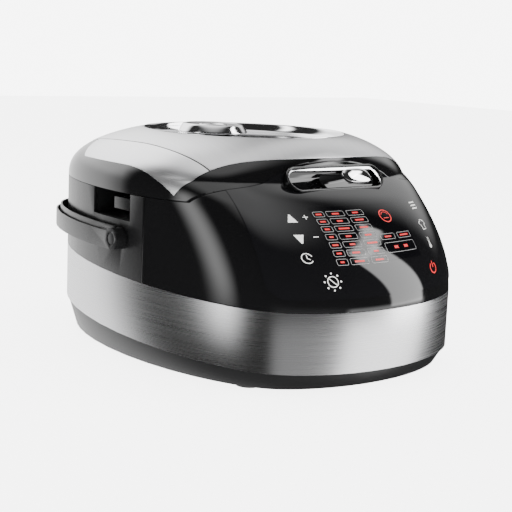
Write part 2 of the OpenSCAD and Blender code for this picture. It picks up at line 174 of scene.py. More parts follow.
def normals_of(grid, wrap):
    if wrap:
        padded = np.concatenate([grid[:, -1:], grid, grid[:, :1]], axis=1)
        along = (padded[:, 2:] - padded[:, :-2])
    else:
        along = np.gradient(grid, axis=1)
    n = np.cross(along, np.gradient(grid, axis=0))
    n /= np.maximum(np.linalg.norm(n, axis=-1, keepdims=True), 1e-9)
    outward = np.sum(n * (grid - [0, POT_Y, 60]))
    return n if outward > 0 else -n


def grid_faces(rows, cols, wrap, start=0):
    span = cols if wrap else cols - 1
    return [(start + r * cols + c, start + r * cols + (c + 1) % cols,
             start + (r + 1) * cols + (c + 1) % cols, start + (r + 1) * cols + c)
            for r in range(rows - 1) for c in range(span)]


def shell(name, grid, thick, wrap=False):
    """A closed shell under a grid of points; thick is a number or one value per point."""
    rows, cols = grid.shape[:2]
    depth = np.broadcast_to(np.asarray(thick, float), (rows, cols))[..., None]
    inner = grid - normals_of(grid, wrap) * depth
    count = rows * cols
    faces = grid_faces(rows, cols, wrap)
    faces += [tuple(reversed(f)) for f in grid_faces(rows, cols, wrap, count)]
    rims = [[(0, c) for c in range(cols)], [(rows - 1, c) for c in range(cols)]]
    if wrap:
        rims = [rim + rim[:1] for rim in rims]
    else:
        rims += [[(r, 0) for r in range(rows)], [(r, cols - 1) for r in range(rows)]]
    for rim in rims:
        for (r0, c0), (r1, c1) in zip(rim, rim[1:]):
            a, b = r0 * cols + c0, r1 * cols + c1
            faces.append((a, b, b + count, a + count))
    points = np.concatenate([grid.reshape(-1, 3), inner.reshape(-1, 3)])
    return clean(new_object(name, points, faces))


def clean(obj, sharp=38, weld=1e-6, flat=False):
    """Merges doubles, turns every face outwards and smooths all but the sharp edges."""
    work = bmesh.new()
    work.from_mesh(obj.data)
    bmesh.ops.remove_doubles(work, verts=work.verts, dist=weld)
    if flat:
        bmesh.ops.dissolve_limit(work, angle_limit=math.radians(0.4), verts=work.verts, edges=work.edges)
    bmesh.ops.recalc_face_normals(work, faces=work.faces)
    work.to_mesh(obj.data)
    work.free()
    obj.data.shade_smooth()
    obj.data.set_sharp_from_angle(angle=math.radians(sharp))
    return obj


def apply_modifiers(obj):
    graph = bpy.context.evaluated_depsgraph_get()
    mesh = bpy.data.meshes.new_from_object(obj.evaluated_get(graph))
    obj.modifiers.clear()
    obj.data = mesh
    return obj


def rounded(obj, width=0.5, segments=3, angle=40, sharp=38):
    bevel = obj.modifiers.new("edges", "BEVEL")
    bevel.width = width * MM
    bevel.segments = segments
    bevel.limit_method = "ANGLE"
    bevel.angle_limit = math.radians(angle)
    apply_modifiers(obj)
    obj.data.shade_smooth()
    obj.data.set_sharp_from_angle(angle=math.radians(sharp))
    return obj


def cut(obj, tool, operation="DIFFERENCE", keep_tool=False):
    boolean = obj.modifiers.new("cut", "BOOLEAN")
    boolean.operation = operation
    boolean.solver = "EXACT"
    boolean.object = tool
    apply_modifiers(obj)
    if not keep_tool:
        bpy.data.objects.remove(tool)
    return obj


def copy_node(node, width=0.4, segments=2, angle=40, sharp=38):
    """A merged copy of an engineering piece with its edges rounded."""
    obj = bpy.data.objects.new(node + "_finish", frame["nodes"][node].data.copy())
    bpy.context.scene.collection.objects.link(obj)
    clean(obj, sharp, weld=2e-6, flat=True)
    if width:
        rounded(obj, width, segments, angle, sharp)
    return obj


def settle(obj, body, slot, material, *nodes):
    """Gives a finished piece its material, its body and the engineering pieces it stands for."""
    obj.data.materials.clear()
    obj.data.materials.append(material)
    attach(obj, body)
    if nodes:
        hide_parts(*nodes)
    faces = len(obj.data.polygons)
    print(f"{obj.name}: {faces} faces, {body}, {slot}")
    return obj


# %% [markdown]
# ## Writing shaders as sums
# A material is a small calculation. Wrapping a socket in a class with the usual operators lets
# that calculation be written as one, and the class adds the Math nodes. Only what changes over
# the surface is linked; everything that is the same all over is set on the shader itself.

# %% Shader helper
class Value:
    """A number that changes over the surface: a socket that can be added and multiplied."""

    def __init__(self, tree, socket):
        self.tree, self.socket = tree, socket

    def math(self, operation, *others):
        node = self.tree.nodes.new("ShaderNodeMath")
        node.operation = operation
        for slot_in, item in zip(node.inputs, (self, *others)):
            if isinstance(item, Value):
                self.tree.links.new(item.socket, slot_in)
            else:
                slot_in.default_value = item
        return Value(self.tree, node.outputs[0])

    def __add__(self, other):
        return self.math("ADD", other)

    def __mul__(self, other):
        return self.math("MULTIPLY", other)

    def __sub__(self, other):
        return self.math("SUBTRACT", other)

    def __truediv__(self, other):
        return self.math("DIVIDE", other)

    def __rsub__(self, other):
        return (self * -1) + other

    __radd__ = __add__
    __rmul__ = __mul__

    def step(self, low, high):
        """Rises smoothly from 0 at low to 1 at high."""
        return self.make("ShaderNodeMapRange", dict(interpolation_type="SMOOTHSTEP"),
                         {0: self, 1: low, 2: high})[0]

    def make(self, kind, settings=None, inputs=None):
        """Adds a node: its settings first, then its sockets. Gives its outputs."""
        node = self.tree.nodes.new(kind)
        for name, item in (settings or {}).items():
            setattr(node, name, item)
        for name, item in (inputs or {}).items():
            if isinstance(item, Value):
                self.tree.links.new(item.socket, node.inputs[name])
            else:
                node.inputs[name].default_value = item
        return [Value(self.tree, out) for out in node.outputs]


class Finish:
    """A material with one Principled shader, whose constants are set on the shader."""

    def __init__(self, name, color, **constants):
        self.material = bpy.data.materials.new(name)
        self.material.use_nodes = True
        self.tree = self.material.node_tree
        self.shader = self.tree.nodes["Principled BSDF"]
        self.set("Base Color", (*color, 1))
        for key, item in constants.items():
            self.set(key.replace("_", " "), item)
        coordinates = self.tree.nodes.new("ShaderNodeTexCoord")
        self.place = Value(self.tree, coordinates.outputs["Object"])

    def set(self, name, item):
        if isinstance(item, Value):
            self.tree.links.new(item.socket, self.shader.inputs[name])
        else:
            self.shader.inputs[name].default_value = item

    def scaled(self, stretch):
        return self.place.make("ShaderNodeMapping", {}, {"Vector": self.place, "Scale": stretch})[0]

    def noise(self, scale, detail=3.0, stretch=(1, 1, 1)):
        return self.place.make("ShaderNodeTexNoise", {}, {
            "Vector": self.scaled(stretch), "Scale": scale, "Detail": detail})[0]

    def tint(self, mask, dark, light):
        mixed = self.place.make("ShaderNodeMix", dict(data_type="RGBA"),
                                {0: mask, 6: (*dark, 1), 7: (*light, 1)})
        self.set("Base Color", mixed[2])

    def bump(self, height, strength, distance):
        self.set("Normal", self.place.make("ShaderNodeBump", {}, {
            "Height": height, "Strength": strength, "Distance": distance})[0])


# %% [markdown]
# ## Finishes
# The front and the lid are polished black plastic: a mirror with a very faint waviness and a
# few smudges that only the roughness shows. The rear shell and the handle are the same
# plastic with a fine spark-eroded grain. The steel is brushed: noise stretched a hundredfold
# along the brushing direction gives the hairlines, both in the bump and in the roughness.

# %% Plastics
def gloss_plastic(name, color, rough=0.05):
    f = Finish(name, color, Roughness=rough, IOR=1.5, Coat_Weight=0.0)
    smudge = f.noise(9, 4).step(0.45, 0.75)
    f.set("Roughness", smudge * 0.035 + rough)
    f.tint(f.noise(3, 2), [c * 0.8 for c in color], [c * 1.2 for c in color])
    f.bump(f.noise(28, 1), 0.02, 0.0006)
    return f.material


def satin_plastic(name, color, rough=0.42, grain=0.12):
    f = Finish(name, color, IOR=1.34)
    fine = f.noise(2600, 2)
    cloud = f.noise(14, 3)
    f.set("Roughness", fine * 0.12 + cloud * 0.08 + (rough - 0.1))
    f.tint(cloud, [c * 0.85 for c in color], [c * 1.15 for c in color])
    f.bump(fine, grain, 0.0002)
    return f.material


GLOSS_BLACK = gloss_plastic("polished_black", (0.003, 0.003, 0.0032))
PANEL_BLACK = gloss_plastic("panel_black", (0.0035, 0.0035, 0.004), 0.03)
WINDOW_BLACK = gloss_plastic("window_black", (0.0015, 0.0015, 0.002), 0.03)
SATIN_BLACK = satin_plastic("satin_black", (0.005, 0.005, 0.0052), 0.34)
GRAIN_BLACK = satin_plastic("grained_black", (0.005, 0.005, 0.0052), 0.28, 0.06)
RUBBER = satin_plastic("rubber", (0.02, 0.02, 0.02), 0.7, 0.3)
SILICONE = satin_plastic("silicone", (0.62, 0.6, 0.55), 0.45, 0.08)


# %% Metals
def brushed_steel(name, stretch, color=(0.66, 0.66, 0.67), rough=0.24, depth=0.16):
    f = Finish(name, color, Metallic=1.0)
    hair = f.noise(1, 3, stretch)
    broad = f.noise(1, 2, [s * 0.22 for s in stretch])
    f.set("Roughness", hair * 0.16 + broad * 0.06 + (rough - 0.1))
    f.tint(hair * 0.6 + broad * 0.4, [c * 0.8 for c in color], [c * 1.12 for c in color])
    f.bump(hair, depth, 0.00012)
    return f.material


def plain_metal(name, color, rough, cloudy=0.06, grain=0.03):
    f = Finish(name, color, Metallic=1.0)
    cloud = f.noise(22, 4)
    f.set("Roughness", cloud * cloudy + (rough - cloudy / 2))
    f.tint(cloud, [c * 0.94 for c in color], color)
    f.bump(f.noise(1500, 1), grain, 0.00006)
    return f.material


BAND_STEEL = brushed_steel("band_steel", (7, 7, 3600), (0.68, 0.68, 0.69), 0.27, 0.035)
STRIP_STEEL = brushed_steel("strip_steel", (2200, 10, 60), (0.72, 0.72, 0.73), 0.36, 0.05)
SILVER = plain_metal("silver_trim", (0.74, 0.74, 0.75), 0.3, 0.05)
POLISHED = plain_metal("polished_metal", (0.82, 0.82, 0.83), 0.1, 0.04, 0.01)
CHROME = plain_metal("chrome", (0.86, 0.86, 0.87), 0.04, 0.02, 0.0)
STEEL = plain_metal("plain_steel", (0.56, 0.56, 0.57), 0.34)
SPRING = plain_metal("spring_steel", (0.42, 0.42, 0.43), 0.3)


# %% Other finishes
def speckled(name, color, speck, rough, metallic=0.0):
    f = Finish(name, color, Metallic=metallic)
    dots = f.noise(900, 1).step(0.62, 0.7)
    f.tint(dots, color, speck)
    f.set("Roughness", dots * 0.15 + rough)
    f.bump(f.noise(400, 2), 0.05, 0.0002)
    return f.material


# A material that glows. On the red display bars and the power mark the glow is a real lamp. On the white and
# grey prints it is painted glow.
def lit(name, color, glow, strength):
    f = Finish(name, color, Roughness=0.3, Emission_Strength=strength)
    spread = f.noise(500, 2)
    mixed = f.place.make("ShaderNodeMix", dict(data_type="RGBA"),
                         {0: spread, 6: (*[c * 0.75 for c in glow], 1), 7: (*glow, 1)})
    f.set("Emission Color", mixed[2])
    f.tint(spread, [c * 0.9 for c in color], color)
    return f.material


NONSTICK = speckled("nonstick", (0.035, 0.035, 0.038), (0.11, 0.11, 0.12), 0.38)
BOARD = speckled("board_green", (0.03, 0.14, 0.06), (0.05, 0.2, 0.09), 0.4)
COMPONENT = satin_plastic("component_grey", (0.05, 0.052, 0.06), 0.45)
CERAMIC = satin_plastic("ceramic", (0.68, 0.66, 0.6), 0.5)
# The white and grey prints glow a little. This is painted glow that brightens the print, not a lamp.
PRINT_WHITE_PAINTED_GLOW = lit("print_white_painted_glow", (0.8, 0.8, 0.78), (0.9, 0.9, 0.88), 0.35)
PRINT_GREY_PAINTED_GLOW = lit("print_grey_painted_glow", (0.3, 0.3, 0.3), (0.35, 0.35, 0.35), 0.25)
LIT_RED = lit("lit_red", (0.4, 0.02, 0.02), (1.0, 0.03, 0.03), 0.9)
print("materials:", len(bpy.data.materials))


# %% [markdown]
# ## The black shells
# The lid is one shell whose lower edge follows the seam: level along the sides, and rising to
# a straight front edge. Each column of its grid starts exactly where the skin crosses that
# edge, so the seam comes out as a clean curve without any cutting. The front housing is made in
# the same way from below, and ends the same gap short of the lid.

# %% Cutting tools for the hinge and the scoop
def block(name, low, high):
    x, y, z = zip(low, high)
    points = [(a, b, c) for c in z for b in y for a in x]
    faces = [(0, 2, 3, 1), (4, 5, 7, 6), (0, 1, 5, 4), (2, 6, 7, 3), (0, 4, 6, 2), (1, 3, 7, 5)]
    return new_object(name, points, faces)


def prism(name, plan, z0, z1, to_world=None):
    """Extrudes a plan of (x, y) points from z0 to z1, then moves it with to_world."""
    count = len(plan)
    points = np.array([(x, y, z) for z in (z0, z1) for x, y in plan], float)
    if to_world is not None:
        points = to_world(points)
    faces = [tuple(reversed(range(count))), tuple(range(count, 2 * count))]
    faces += [(i, (i + 1) % count, count + (i + 1) % count, count + i) for i in range(count)]
    return clean(new_object(name, points, faces))


def circle(radius, count=96, centre=(0, 0)):
    a = np.linspace(0, 2 * math.pi, count, endpoint=False)
    return [(centre[0] + radius * math.cos(v), centre[1] + radius * math.sin(v)) for v in a]


def stadium(radius, half=42, count=64):
    """Round-ended slot, counted from the bottom of its right end."""
    a = np.linspace(-math.pi / 2, 1.5 * math.pi, count, endpoint=False) + math.pi / count
    return [((half if math.cos(v) > 0 else -half) + radius * math.cos(v), radius * math.sin(v))
            for v in a]


def on_scoop(points):
    lean = math.radians(SCOOP_LEAN)
    x, v, n = np.moveaxis(np.asarray(points, float), -1, 0)
    y = SCOOP_Y + v * math.cos(lean) - n * math.sin(lean)
    z = SCOOP_Z + v * math.sin(lean) + n * math.cos(lean)
    return np.stack([x, y, z], -1)


hinge = next(j for j in frame["record"]["behaviour"]["joints"] if j["name"] == "lid_hinge")
HINGE_Y, HINGE_Z = hinge["pos_m"][1] / MM - SHIFT_Y, hinge["pos_m"][2] / MM


def rod(name, radius, half, y=HINGE_Y, z=HINGE_Z):
    """A cylinder that lies along X."""
    return prism(name, circle(radius), -half, half,
                 lambda p: np.stack([p[:, 2], y + p[:, 0], z + p[:, 1]], -1))


# %% Lid shell
lid_t = np.linspace(0, 2 * math.pi, 540, endpoint=False)
lid_edge = np.maximum(seam_height(lid_t, 0.0, SEAM_Z + 0.5), SEAM_Z + 1.2)
wall_rows = [np.concatenate([skin(lid_t, lid_edge)[:, :2],
                             (SEAM_Z + 0.5 + f * (lid_edge - SEAM_Z - 0.5))[:, None]], 1)
             for f in (0.0, 0.4, 0.8)]
rise = np.sin(np.linspace(0, math.pi / 2, 72))
lid_rows = wall_rows + [skin(lid_t, lid_edge + f * (RIM_Z - lid_edge)) for f in rise]
lid_shell = shell("lid_shell", np.array(lid_rows), 2.6, wrap=True)
rear_edge = block("rear_edge", (-200, HINGE_Y, 100), (200, HINGE_Y + 60, HINGE_Z + 5.5))
cut(lid_shell, cut(rear_edge, rod("barrel", 5.9, 210)))
relief = cut(rod("relief", 9.0, 52), block("tongue", (-20.4, HINGE_Y - 60, 120), (20.4, HINGE_Y - 5.5, 190)))
cut(lid_shell, relief)
rounded(lid_shell, 0.7, 3, 45)
settle(lid_shell, "lid", "black_gloss", GLOSS_BLACK, "lid_frame")

# %% Front housing
columns = np.sin(np.linspace(-1, 1, 420) * math.pi / 2 * 0.6) / math.sin(math.pi / 2 * 0.6)
levels = np.linspace(0, 1, 110)[:, None]
split_at = lambda z: bisect(lambda a: skin(a, z)[..., 1] >= SPLIT_Y - 0.15,
                            np.zeros(np.shape(z)), np.full(np.shape(z), math.pi * 0.8))
front_t = columns[None, :] * split_at(np.full((110, 420), 110.0))
for _ in range(5):
    low_z = BAND_LOW + BAND_H + 0.3 + BAND_SLOPE * skin(front_t, 70.0)[..., 1]
    top_z = seam_height(np.abs(front_t), GAP)
    front_z = low_z + levels * (top_z - low_z)
    front_t = columns[None, :] * split_at(front_z)
front_thick = 0.7 + 1.7 * np.clip((top_z - front_z) / 8, 0, 1)
front_shell = shell("front_shell", skin(front_t, front_z), front_thick)
cut(front_shell, prism("scoop_room", stadium(11.5), -9, 30, on_scoop))
rounded(front_shell, 0.5, 3, 45)
bulk_x = np.linspace(-139, 139, 260)
bulk_top = bisect(lambda z: front_at(bulk_x, z)[..., 1] >= lid_front(bulk_x, GAP + 1.6),
                  np.full(260, SEAM_Z), np.full(260, 180.0)) - 0.9
inside = bulk_top > SEAM_Z + 0.5
bulk_x, bulk_top = bulk_x[inside], bulk_top[inside]
bulk_rows = [np.stack([bulk_x, lid_front(bulk_x, GAP + 1.6), 138 + f * (bulk_top - 138)], 1)
             for f in np.linspace(0, 1, 6)]
bulkhead = shell("front_bulkhead", np.array(bulk_rows), 1.5)
cut(bulkhead, prism("scoop_room", stadium(11.8), -9, 30, on_scoop))
settle(front_shell, "cooker_body", "black_gloss", GLOSS_BLACK, "front_housing")
settle(bulkhead, "cooker_body", "black_satin", SATIN_BLACK)

# %% [markdown]
# ## The bright panels on the lid
# The brushed strip runs from the front to the back between two large arcs, round the dish. The
# silver inserts fill the sides. Each is laid out as a flat plan and dropped onto the skin from
# above, which is a ray cast for each point. The caller then lifts it along its normals by a
# fraction of a millimetre.

# %% Dropping a plan onto the skin
drape_t = np.linspace(0, 2 * math.pi, 1440, endpoint=False)
drape_z = 140 + (RIM_Z - 140) * np.sin(np.linspace(0, math.pi / 2, 220))
drape = np.array([skin(drape_t, z) for z in drape_z])
drape_tree = BVHTree.FromPolygons([tuple(p) for p in drape.reshape(-1, 3)],
                                  grid_faces(len(drape_z), len(drape_t), True))


def drop(plan):
    """Lays a grid of (x, y) points on the skin."""
    grid = np.zeros((*plan.shape[:2], 3))
    for index in np.ndindex(plan.shape[:2]):
        x, y = plan[index]
        hit = drape_tree.ray_cast(Vector((x, y, 300)), Vector((0, 0, -1)))[0]
        grid[index] = (x, y, hit.z if hit else RIM_Z)
    return grid


ARC_X, ARC_Y, ARC_R = 216.0, 5.0, 333.0
BOW_Y, BOW_R = 169.7, 267.0
STRIP_REAR, INSERT_REAR = 128.0, 100.0


def arc_x(y, grow=0.0):
    return np.sqrt((ARC_R + grow) ** 2 - (y - ARC_Y) ** 2) - ARC_X


def bow_x(y):
    return np.sqrt(BOW_R ** 2 - (BOW_Y - y) ** 2)


# %% Brushed strip
corner_y = float(bisect(lambda y: arc_x(y) <= bow_x(y), -97.0, -40.0))
corners = [(arc_x(corner_y), corner_y), (arc_x(STRIP_REAR), STRIP_REAR)]
corner_angles = [math.atan2(s * x, y - POT_Y) for x, y in corners for s in (-1, 1)]
strip_a = np.sort(np.concatenate([np.linspace(-math.pi, math.pi, 720, endpoint=False), corner_angles]))


def outside_strip(r):
    x, y = r * np.sin(strip_a), POT_Y + r * np.cos(strip_a)
    return ((np.abs(x) + ARC_X) ** 2 + (y - ARC_Y) ** 2 > ARC_R ** 2) | (y > STRIP_REAR) | (
        x ** 2 + (y - BOW_Y) ** 2 > BOW_R ** 2)


strip_r = bisect(outside_strip, np.full(strip_a.shape, DISH_R), np.full(strip_a.shape, 220.0))
strip_plan = np.array([np.stack([r * np.sin(strip_a), POT_Y + r * np.cos(strip_a)], 1)
                       for r in (DISH_R + 0.2 + f * (strip_r - DISH_R - 0.2) for f in np.linspace(0, 1, 30))])
strip_grid = drop(strip_plan)
strip_grid = strip_grid + normals_of(strip_grid, True) * 0.3
strip = shell("brushed_strip", strip_grid, 1.0, wrap=True)
rounded(strip, 0.35, 3, 45)
settle(strip, "lid", "brushed", STRIP_STEEL, "lid_strip")

# %% Silver side inserts
tip_y = float(bisect(lambda y: bow_x(y) - arc_x(y, 0.9) >= 0.4, corner_y - 1.0, -20.0))
insert_y = tip_y + (INSERT_REAR - 0.02 - tip_y) * (1 - np.cos(np.linspace(0, math.pi, 200))) / 2
edge_t = bisect(lambda a: outline(a, 6.5)[1] >= insert_y, np.zeros(200), np.full(200, math.pi))
round_off = np.sqrt(1 - (np.clip(insert_y - 84, 0, None) / (INSERT_REAR - 84)) ** 2)
inner_x = arc_x(insert_y, 0.9)
outer_x = np.minimum(outline(edge_t, 6.5)[0], bow_x(insert_y))
outer_x = inner_x + (outer_x - inner_x) * round_off
for side, word in ((-1, "left"), (1, "right")):
    across = np.linspace(0, 1, 26)[None, :]
    plan_x = side * (inner_x[:, None] + across * (outer_x - inner_x)[:, None])
    plan = np.stack([plan_x, np.broadcast_to(insert_y[:, None], plan_x.shape)], -1)
    grid = drop(plan)
    grid = grid + normals_of(grid, False) * 0.25
    insert = shell("silver_insert_" + word, grid, 1.0)
    rounded(insert, 0.35, 3, 45)
    settle(insert, "lid", "silver_trim", SILVER, "side_insert_" + word)


# %% [markdown]
# ## The dish and the steam cap
# Both are turned shapes. A lathe needs only the profile of half a section: the dish's wall
# leans in a little and meets the floor in a small radius, and the cap is a shallow drum that
# is undercut below its widest line, with a dished top and a raised ring.

# %% Lathe
def lathe(name, profile, centre, turns=256):
    a = np.linspace(0, 2 * math.pi, turns, endpoint=False)
    grid = np.array([[(centre[0] + r * math.sin(v), centre[1] - r * math.cos(v), z) for v in a]
                     for r, z in profile + profile[:1]])
    return clean(new_object(name, grid.reshape(-1, 3), grid_faces(len(profile) + 1, turns, True)))


def smooth_profile(points, rounds=3):
    """Chaikin's corner cutting on an open profile, which keeps its two ends."""
    for _ in range(rounds):
        fresh = [points[0]]
        for (r0, z0), (r1, z1) in zip(points, points[1:]):
            fresh += [(0.75 * r0 + 0.25 * r1, 0.75 * z0 + 0.25 * z1),
                      (0.25 * r0 + 0.75 * r1, 0.25 * z0 + 0.75 * z1)]
        points = fresh + [points[-1]]
    return points


DISH_FLOOR = 186.0
dish_inside = smooth_profile([
    (0.01, DISH_FLOOR - 0.5), (60, DISH_FLOOR - 0.4), (84, DISH_FLOOR), (88.6, DISH_FLOOR + 0.6),
    (90.2, DISH_FLOOR + 3.4), (90.8, RIM_Z - 1.2), (91.5, RIM_Z + 0.5), (92.6, RIM_Z + 0.55)])
dish_outside = [(92.6, RIM_Z - 1), (92.2, DISH_FLOOR + 3), (89.5, DISH_FLOOR - 1.2),
                (0.01, DISH_FLOOR - 1.4)]
dish = lathe("lid_dish_finish", dish_inside + dish_outside, (0, POT_Y))
CAP_R = 33.0
VALVE_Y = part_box("steam_valve_cap")[1].y / MM - SHIFT_Y - CAP_R
cut(dish, prism("duct_hole", circle(13.4, 96, (0, VALVE_Y)), 150, 210))
clean(dish)
settle(dish, "lid", "polished", POLISHED, "lid_dish")

cap_top = smooth_profile([
    (0.01, 194.4), (7.0, 194.6), (9.4, 195.2), (10.6, 196.0), (12.4, 196.0), (13.4, 195.0),
    (22.5, 195.5), (25.4, 196.5), (27.6, 196.5), (29.0, 195.4), (32.4, 190.0),
    (32.9, 188.9), (31.6, 187.9), (24.5, 186.5)])
cap_under = [(24.2, 186.4), (13.8, 186.4), (13.6, 189.2), (0.01, 189.2)]
cap = lathe("steam_cap_finish", cap_top + cap_under, (0, VALVE_Y))
settle(cap, "steam_valve", "polished", POLISHED, "steam_valve_cap")

# %% [markdown]
# ## The release
# A round-ended scoop with a polished black bead round it. A chrome bar follows the scoop's top
# edge and right end, and a chrome paddle sits right of the middle. A black carrier behind them
# joins both to the stem, which runs in the spring at the middle of the scoop.

# %% Bead, scoop and release
bead_profile = [(12.1, -0.9), (12.1, 0.3), (11.7, 0.9), (11.0, 1.1), (10.4, 0.8), (10.1, 0.2),
                (10.0, -1.6), (11.2, -1.6)]
bead_rows = [[(x, y, n) for x, y in stadium(r, 42, 128)] for r, n in bead_profile + bead_profile[:1]]
bead_grid = on_scoop(np.array(bead_rows))
bead = clean(new_object("scoop_bead", bead_grid.reshape(-1, 3),
                        grid_faces(len(bead_rows), 128, True)), 60)
settle(bead, "cooker_body", "polished", GLOSS_BLACK, "button_bezel")

STEM_V = -2.0
floor_plate = prism("scoop_floor", stadium(9.7), -6.4, -6.1, on_scoop)
cut(floor_plate, prism("stem_room", circle(4.2, 40, (0, STEM_V)), -8, 0, on_scoop))
settle(floor_plate, "cooker_body", "black_satin", GLOSS_BLACK)

# The bar follows the scoop's edge from the left end over the top and round the right end
BAR_R, BAR_HALF = 9.7, 42


def bar_end(middle, start, end, count):
    """One rounded end of the bar, between two angles in degrees."""
    return [(middle + BAR_R * math.cos(a), BAR_R * math.sin(a))
            for a in np.linspace(math.radians(start), math.radians(end), count)]


bar_edge = np.array(bar_end(-BAR_HALF, 165, 90, 14) + [(u, BAR_R) for u in np.linspace(-39, 39, 50)]
                    + bar_end(BAR_HALF, 90, -50, 26))
bar_run = np.linspace(0, 1, len(bar_edge))
bar_width = 0.5 + 2.1 * np.sin(np.clip(bar_run * 2.2, 0, 1) * math.pi / 2)
bar_width = bar_width + 2.0 * np.exp(-((bar_run - 0.86) / 0.1) ** 2)
bar_width *= np.clip((1 - bar_run) / 0.1, 0.15, 1)
middles = np.clip(bar_edge[:, 0], -BAR_HALF, BAR_HALF)
toward = np.stack([middles, np.zeros(len(bar_edge))], 1) - bar_edge
inner_edge = bar_edge + toward / np.linalg.norm(toward, axis=1)[:, None] * bar_width[:, None]
bar_plan = [tuple(p) for p in inner_edge] + [tuple(p) for p in bar_edge[::-1]]
bar = rounded(prism("release_bar", bar_plan, -2.6, 0.1, on_scoop), 0.45, 3, 50)

# The paddle is a soft-cornered plate, bowed outwards, right of the middle
PAD_U, PAD_V = 26.0, 1.7
pad_a = np.linspace(0, 2 * math.pi, 96, endpoint=False)
pad_rows = []
for share, height in ((0.02, 1.0), (0.35, 0.95), (0.65, 0.7), (0.84, 0.3), (0.94, -0.2),
                      (0.985, -0.9), (1.0, -1.8), (1.0, -3.4), (0.02, -3.4)):
    c, s = np.cos(pad_a), np.sin(pad_a)
    u = 15.5 * share * np.sign(c) * np.abs(c) ** 0.62
    v = PAD_V + 7.4 * share * np.sign(s) * np.abs(s) ** 0.7
    pad_rows.append(np.stack([PAD_U + u - (v - PAD_V) * 0.25, v, np.full(96, height)], 1))
pad = clean(new_object("release_pad", on_scoop(np.array(pad_rows)).reshape(-1, 3),
                       grid_faces(9, 96, True)), 60)
carrier_plan = [(u + 13, v + STEM_V) for u, v in stadium(6.6, 24)]
carrier = rounded(prism("release_carrier", carrier_plan, -2.75, -1.9, on_scoop), 0.3, 2, 50)
stem = prism("release_stem", circle(2.2, 40, (0, STEM_V)), -7.1, -2.7, on_scoop)
settle(carrier, "button", "black_satin", GLOSS_BLACK)
settle(stem, "button", "black_satin", SATIN_BLACK)
settle(bar, "button", "polished", CHROME, "release_button")
settle(pad, "button", "polished", CHROME)
settle(copy_node("button_scoop", 0.5, 3), "cooker_body", "black_satin", GLOSS_BLACK, "button_scoop")

# %% [markdown]
# ## The touch panel
# A glossy printed sheet over the front. What is printed is drawn flat, in millimetres, and then
# wrapped onto the sheet: across is x, and up is the length along the leaning surface. The marks
# are generic ones, and the words are left out.

# %% Panel sheet
PANEL_HALF, PANEL_BOTTOM, CORNER = 105.0, 77.0, 15.0
LIFT = 1.0


def panel_edge(z):
    below = np.clip(PANEL_BOTTOM + CORNER - z, 0, CORNER)
    return PANEL_HALF - CORNER + np.sqrt(CORNER ** 2 - below ** 2)


panel_s = np.sin(np.linspace(-1, 1, 240) * math.pi / 2 * 0.5) / math.sin(math.pi / 4)
panel_w = (1 - np.cos(np.linspace(0, math.pi, 100)))[:, None] / 2
panel_z = PANEL_BOTTOM + panel_w * np.full((1, 240), 80.0)
seam_x = np.linspace(0, PANEL_HALF + 1, 160)
seam_top = bisect(lambda z: front_at(seam_x, z, -LIFT)[..., 1] >= lid_front(seam_x, GAP + 0.3),
                  np.full(160, SEAM_Z), np.full(160, 180.0))
for _ in range(5):
    panel_x = panel_s[None, :] * panel_edge(panel_z)
    top = np.interp(np.abs(panel_x), seam_x, seam_top)
    panel_z = PANEL_BOTTOM + 0.05 + panel_w * (np.minimum(top, 169.0) - PANEL_BOTTOM - 0.1)
panel = shell("panel_sheet", front_at(panel_x, panel_z, -LIFT), 0.7)
cut(panel, prism("scoop_room", stadium(11.9), -12, 30, on_scoop))
rounded(panel, 0.25, 2, 45)
settle(panel, "cooker_body", "overlay", PANEL_BLACK, "control_overlay")

# %% Wrapping prints onto the panel
climb_z = np.linspace(PANEL_BOTTOM, 168, 200)
climb = front_at(np.zeros(200), climb_z, -LIFT)
climb_s = np.concatenate([[0], np.cumsum(np.linalg.norm(np.diff(climb, axis=0), axis=1))])


def wrap(obj, x, z, lift=0.22):
    """Moves a flat drawing, in metres about the origin, onto the panel at (x, z)."""
    flat = np.array([v.co[:] for v in obj.data.vertices]) / MM
    height = np.interp(np.interp(z, climb_z, climb_s) + flat[:, 1], climb_s, climb_z)
    there = front_at(x + flat[:, 0], height, -LIFT - lift)
    for vertex, p in zip(obj.data.vertices, place(there)):
        vertex.co = p
    return obj


def drawing(name, shapes, thick=0.0):
    """A flat mesh from closed outlines, each a list of (x, y) in millimetres."""
    points, faces = [], []
    for shape in shapes:
        faces.append(tuple(range(len(points), len(points) + len(shape))))
        points += [(x * MM, y * MM, thick) for x, y in shape]
    mesh = bpy.data.meshes.new(name)
    mesh.from_pydata(points, [], faces)
    obj = bpy.data.objects.new(name, mesh)
    bpy.context.scene.collection.objects.link(obj)
    return obj


def bar_shape(x0, y0, x1, y1, width):
    d = np.array([x1 - x0, y1 - y0], float)
    n = np.array([-d[1], d[0]]) / np.linalg.norm(d) * width / 2
    return [tuple(p) for p in (np.array([x0, y0]) - n, np.array([x1, y1]) - n,
                               np.array([x1, y1]) + n, np.array([x0, y0]) + n)]


def arc_shapes(radius, width, start=0, end=360, centre=(0, 0), pieces=36):
    """A ring or a part of one, as a row of small four-sided shapes."""
    a = np.radians(np.linspace(start, end, pieces + 1))
    r0, r1 = radius - width / 2, radius + width / 2
    dot = lambda r, v: (centre[0] + r * math.cos(v), centre[1] + r * math.sin(v))
    return [[dot(r0, p), dot(r0, q), dot(r1, q), dot(r1, p)][::-1] for p, q in zip(a, a[1:])]


def disc(radius, x=0, y=0, count=20):
    return circle(radius, count, (x, y))


